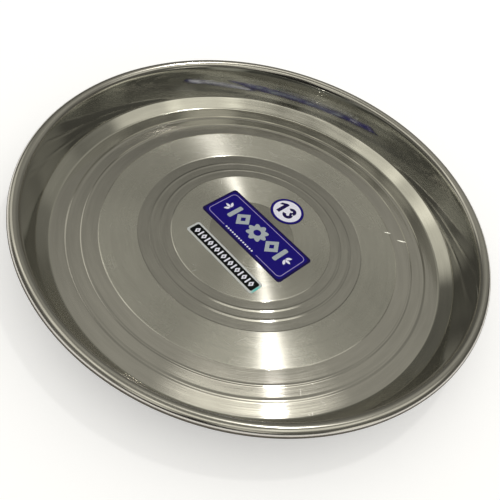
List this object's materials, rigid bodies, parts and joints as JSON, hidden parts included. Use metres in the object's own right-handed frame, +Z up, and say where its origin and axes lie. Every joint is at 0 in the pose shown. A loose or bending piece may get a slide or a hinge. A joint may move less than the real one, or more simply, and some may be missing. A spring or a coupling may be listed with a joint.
{
  "type": "thali plate",
  "caption": "Round stainless-steel thali plate with a banded and beaded flat floor, a bevelled corner, a steep wall and a rolled rim, carrying three stick-on labels.",
  "frame": {"origin": "centre of the plate's underside, on the table plane", "axes": "+Z up along the plate's axis of revolution, +X to the right and +Y away from the viewer, who reads the labels from the -Y side"},
  "size_m": [0.3299, 0.33, 0.0355],
  "materials": {
    "steel": "polished stainless steel with satin bands",
    "label_blue": "glossy printed film",
    "label_white": "glossy printed film",
    "label_black": "glossy printed film with a silver edge"
  },
  "bodies": {
    "root": {"plate": "steel", "main_label": "label_blue", "size_label": "label_white", "strip_label": "label_black"}
  },
  "joints": []
}
